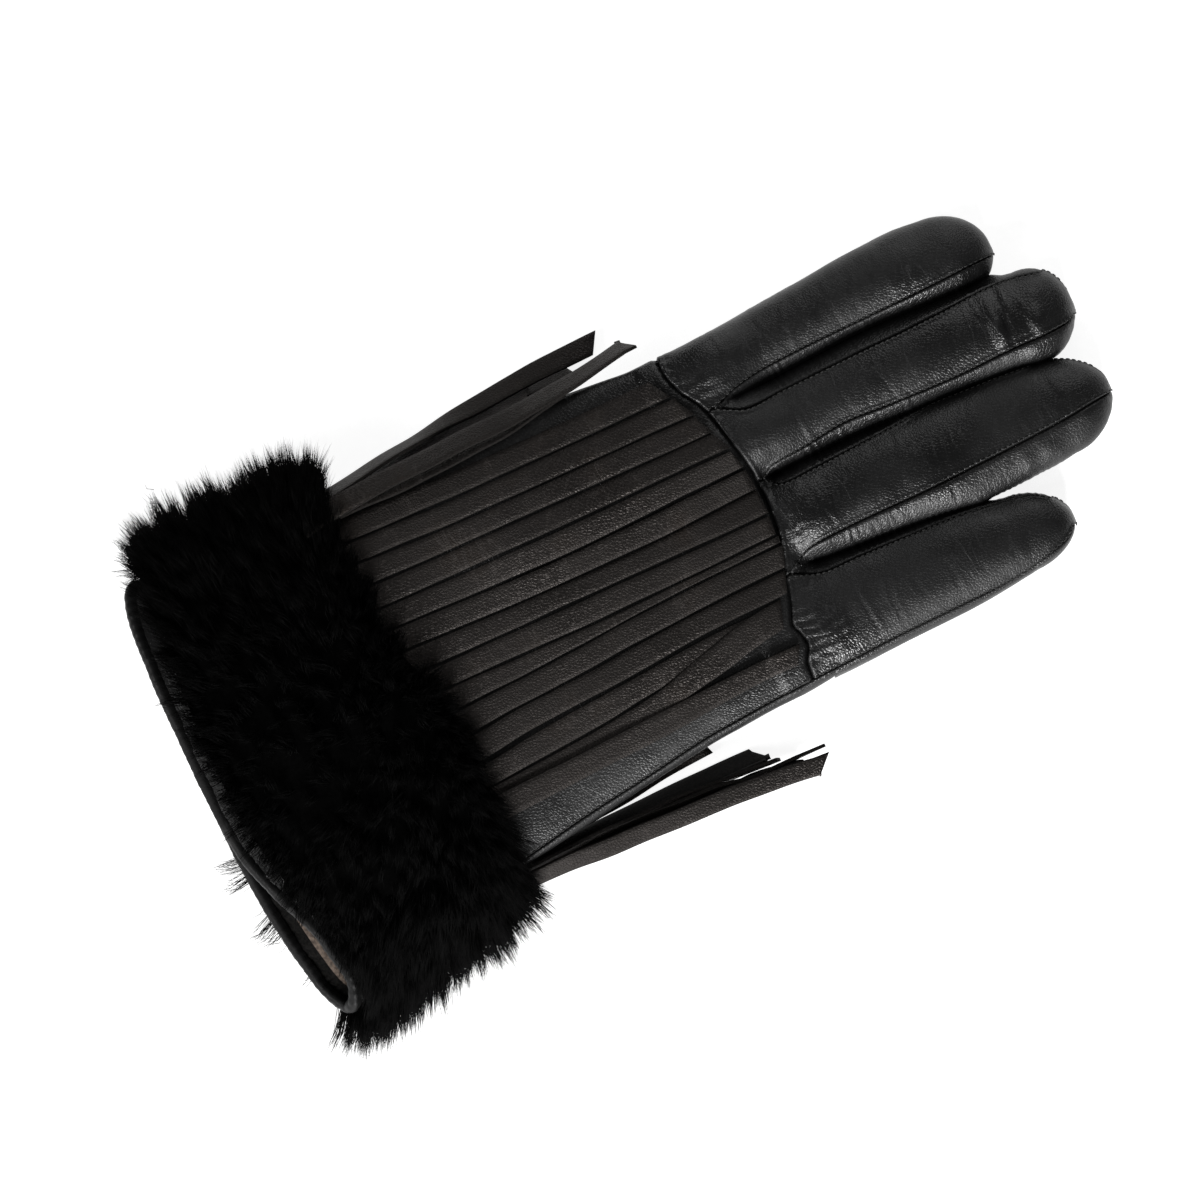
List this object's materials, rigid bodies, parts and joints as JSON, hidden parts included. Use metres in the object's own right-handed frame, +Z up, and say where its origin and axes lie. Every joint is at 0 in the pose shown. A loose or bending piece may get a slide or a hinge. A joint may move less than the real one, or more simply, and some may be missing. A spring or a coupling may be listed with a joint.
{
  "type": "fringed leather glove",
  "caption": "Right-hand leather dress glove lying palm down, with sewn fingers, a fringe of leather strips over the back and sides, and a fur cuff.",
  "frame": {"origin": "on the surface that the glove rests on, under the middle of the palm", "axes": "+Y from the cuff to the fingertips, +X to the little finger's side, +Z up out of the back of the hand"},
  "size_m": [0.1393, 0.2397, 0.0297],
  "materials": {
    "glove_leather": "smooth black glove leather with a soft gloss and fine creases",
    "fringe_leather": "matte black leather with a fine pebble grain and raw cut edges",
    "fur": "deep black fur",
    "lining_cloth": "brushed brown-grey lining cloth"
  },
  "bodies": {
    "root": {"palm": "glove_leather", "finger_backs": "glove_leather", "hand_back": "glove_leather", "fourchette_index_middle": "glove_leather", "fourchette_middle_ring": "glove_leather", "fourchette_ring_little": "glove_leather", "thumb": "glove_leather", "mouth_roll": "glove_leather", "facing": "glove_leather", "lining": "lining_cloth", "fringe_back": "fringe_leather", "fringe_thumb_side": "fringe_leather", "fringe_little_side": "fringe_leather", "fur_cuff": "fur"}
  },
  "joints": []
}
